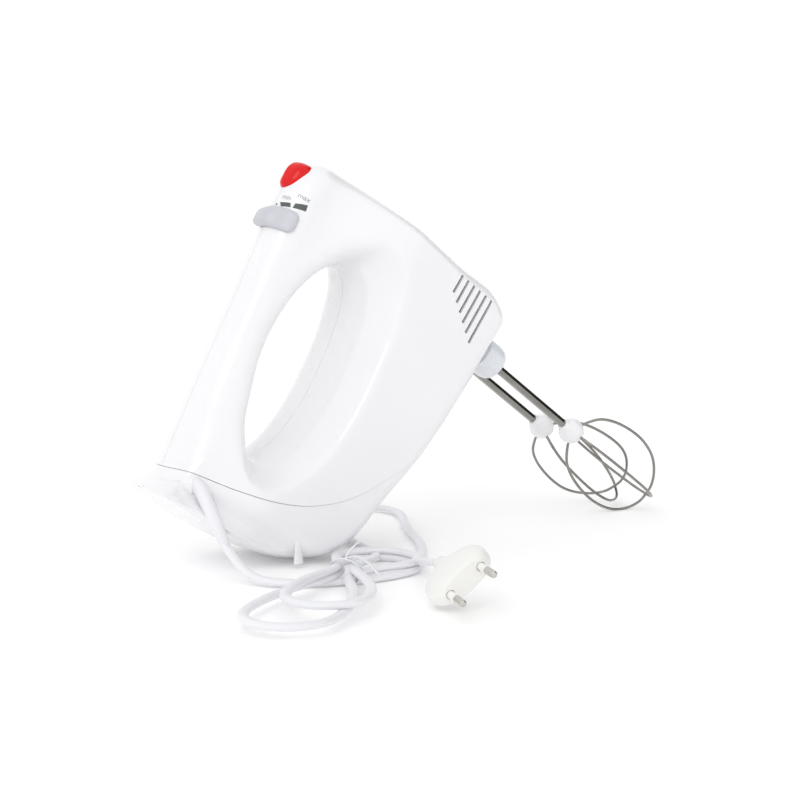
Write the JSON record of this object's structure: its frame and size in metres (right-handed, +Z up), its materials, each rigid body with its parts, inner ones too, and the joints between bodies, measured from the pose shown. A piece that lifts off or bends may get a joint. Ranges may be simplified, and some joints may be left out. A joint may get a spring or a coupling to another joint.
{
  "type": "hand mixer",
  "caption": "White electric hand mixer with a looped handle, grey speed selector, red eject button and meshing wire whisks, its mains cord tied in a hank.",
  "frame": {"origin": "on the surface it stands on, under the middle of the leaning mixer's box measured without its cord", "axes": "+X from the heel towards the whisk tips, +Y to the mixer's left side, +Z up; the mixer leans on the foot of its heel and its whisk tips, with the beaters pointing 35.3 degrees below horizontal"},
  "size_m": [0.3654, 0.2636, 0.213],
  "materials": {
    "white_shell": "glossy moulded white",
    "white_plug": "satin moulded warm white",
    "white_cord": "smooth white sheath",
    "white_knob": "glossy white",
    "pale_collar": "pale grey, slightly milky",
    "grey_selector": "satin light grey",
    "red_button": "glossy red",
    "beater_steel": "polished steel",
    "nickel": "nickel plate",
    "machine_steel": "machined steel",
    "lamination": "varnished laminations",
    "copper_wire": "enamelled copper wire",
    "brass": "plain brass",
    "black_plastic": "matt black",
    "nylon": "natural nylon"
  },
  "bodies": {
    "housing": {"housing_left": "white_shell", "housing_right": "white_shell", "lower_cover": "white_shell", "housing_screw_1": "machine_steel", "housing_screw_2": "machine_steel", "housing_screw_3": "machine_steel", "housing_screw_4": "machine_steel", "port_collar": "pale_collar", "stator_core": "lamination", "field_coil_upper": "copper_wire", "field_coil_lower": "copper_wire", "carbon_brush_left": "black_plastic", "carbon_brush_right": "black_plastic", "brush_holder_left": "brass", "brush_holder_right": "brass", "motor_rear_bracket": "nylon", "bearing_rear": "machine_steel", "gearbox_frame": "nylon", "bearing_middle": "machine_steel", "bearing_front": "machine_steel", "spindle_bush_left": "brass", "spindle_bush_right": "brass", "switch_block": "black_plastic", "eject_spring": "machine_steel", "spring_seat": "nylon", "strain_relief": "white_plug", "cord_lead": "white_cord", "cord_tail": "white_cord", "cord_hank": "white_cord", "plug_body": "white_plug", "plug_pin_left": "nickel", "plug_pin_right": "nickel"},
    "armature": {"motor_shaft_worm": "machine_steel", "armature_core": "lamination", "armature_winding_front": "copper_wire", "armature_winding_rear": "copper_wire", "commutator": "brass", "cooling_fan": "nylon"},
    "spindle_left": {"spindle_left": "machine_steel", "worm_wheel_left": "nylon"},
    "spindle_right": {"spindle_right": "machine_steel", "worm_wheel_right": "nylon"},
    "beater_left": {"beater_shaft_left": "beater_steel", "beater_ball_left": "white_knob", "wire_loop_a_left": "beater_steel", "wire_loop_b_left": "beater_steel"},
    "beater_right": {"beater_shaft_right": "beater_steel", "beater_ball_right": "white_knob", "wire_loop_a_right": "beater_steel", "wire_loop_b_right": "beater_steel"},
    "selector": {"speed_selector": "grey_selector", "selector_lever": "nylon"},
    "ejector": {"eject_button": "red_button", "eject_plunger": "nylon"}
  },
  "joints": [
    {"name": "motor_spin", "type": "hinge", "parent": "housing", "child": "armature", "pos_m": [-0.03096, 0, 0.08601], "axis": [0.5779, 0, 0.8161], "continuous": true},
    {"name": "spindle_left_spin", "type": "hinge", "parent": "housing", "child": "spindle_left", "pos_m": [0.00841, 0.014, 0.1243], "axis": [-0.8161, 0, 0.5779], "continuous": true},
    {"name": "spindle_right_spin", "type": "hinge", "parent": "housing", "child": "spindle_right", "pos_m": [0.00841, -0.014, 0.1243], "axis": [-0.8161, 0, 0.5779], "continuous": true},
    {"name": "beater_left_release", "type": "slide", "parent": "spindle_left", "child": "beater_left", "axis": [0.8161, 0, -0.5779], "range_m": [0, 0.055]},
    {"name": "beater_right_release", "type": "slide", "parent": "spindle_right", "child": "beater_right", "axis": [0.8161, 0, -0.5779], "range_m": [0, 0.055]},
    {"name": "selector_turn", "type": "hinge", "parent": "housing", "child": "selector", "pos_m": [-0.0836, 0, 0.17536], "axis": [0.497, 0, 0.8678], "range_deg": [0, 36]},
    {"name": "eject_press", "type": "slide", "parent": "housing", "child": "ejector", "axis": [0.8161, 0, -0.5779], "range_m": [0, 0.005], "stiffness_N_per_m": 400, "springref_m": -0.004}
  ],
  "couplings": [
    {"joint": "spindle_left_spin", "follows": "motor_spin", "ratio": -0.090909},
    {"joint": "spindle_right_spin", "follows": "motor_spin", "ratio": 0.090909},
    {"joint": "beater_right_release", "follows": "beater_left_release", "ratio": 1}
  ]
}
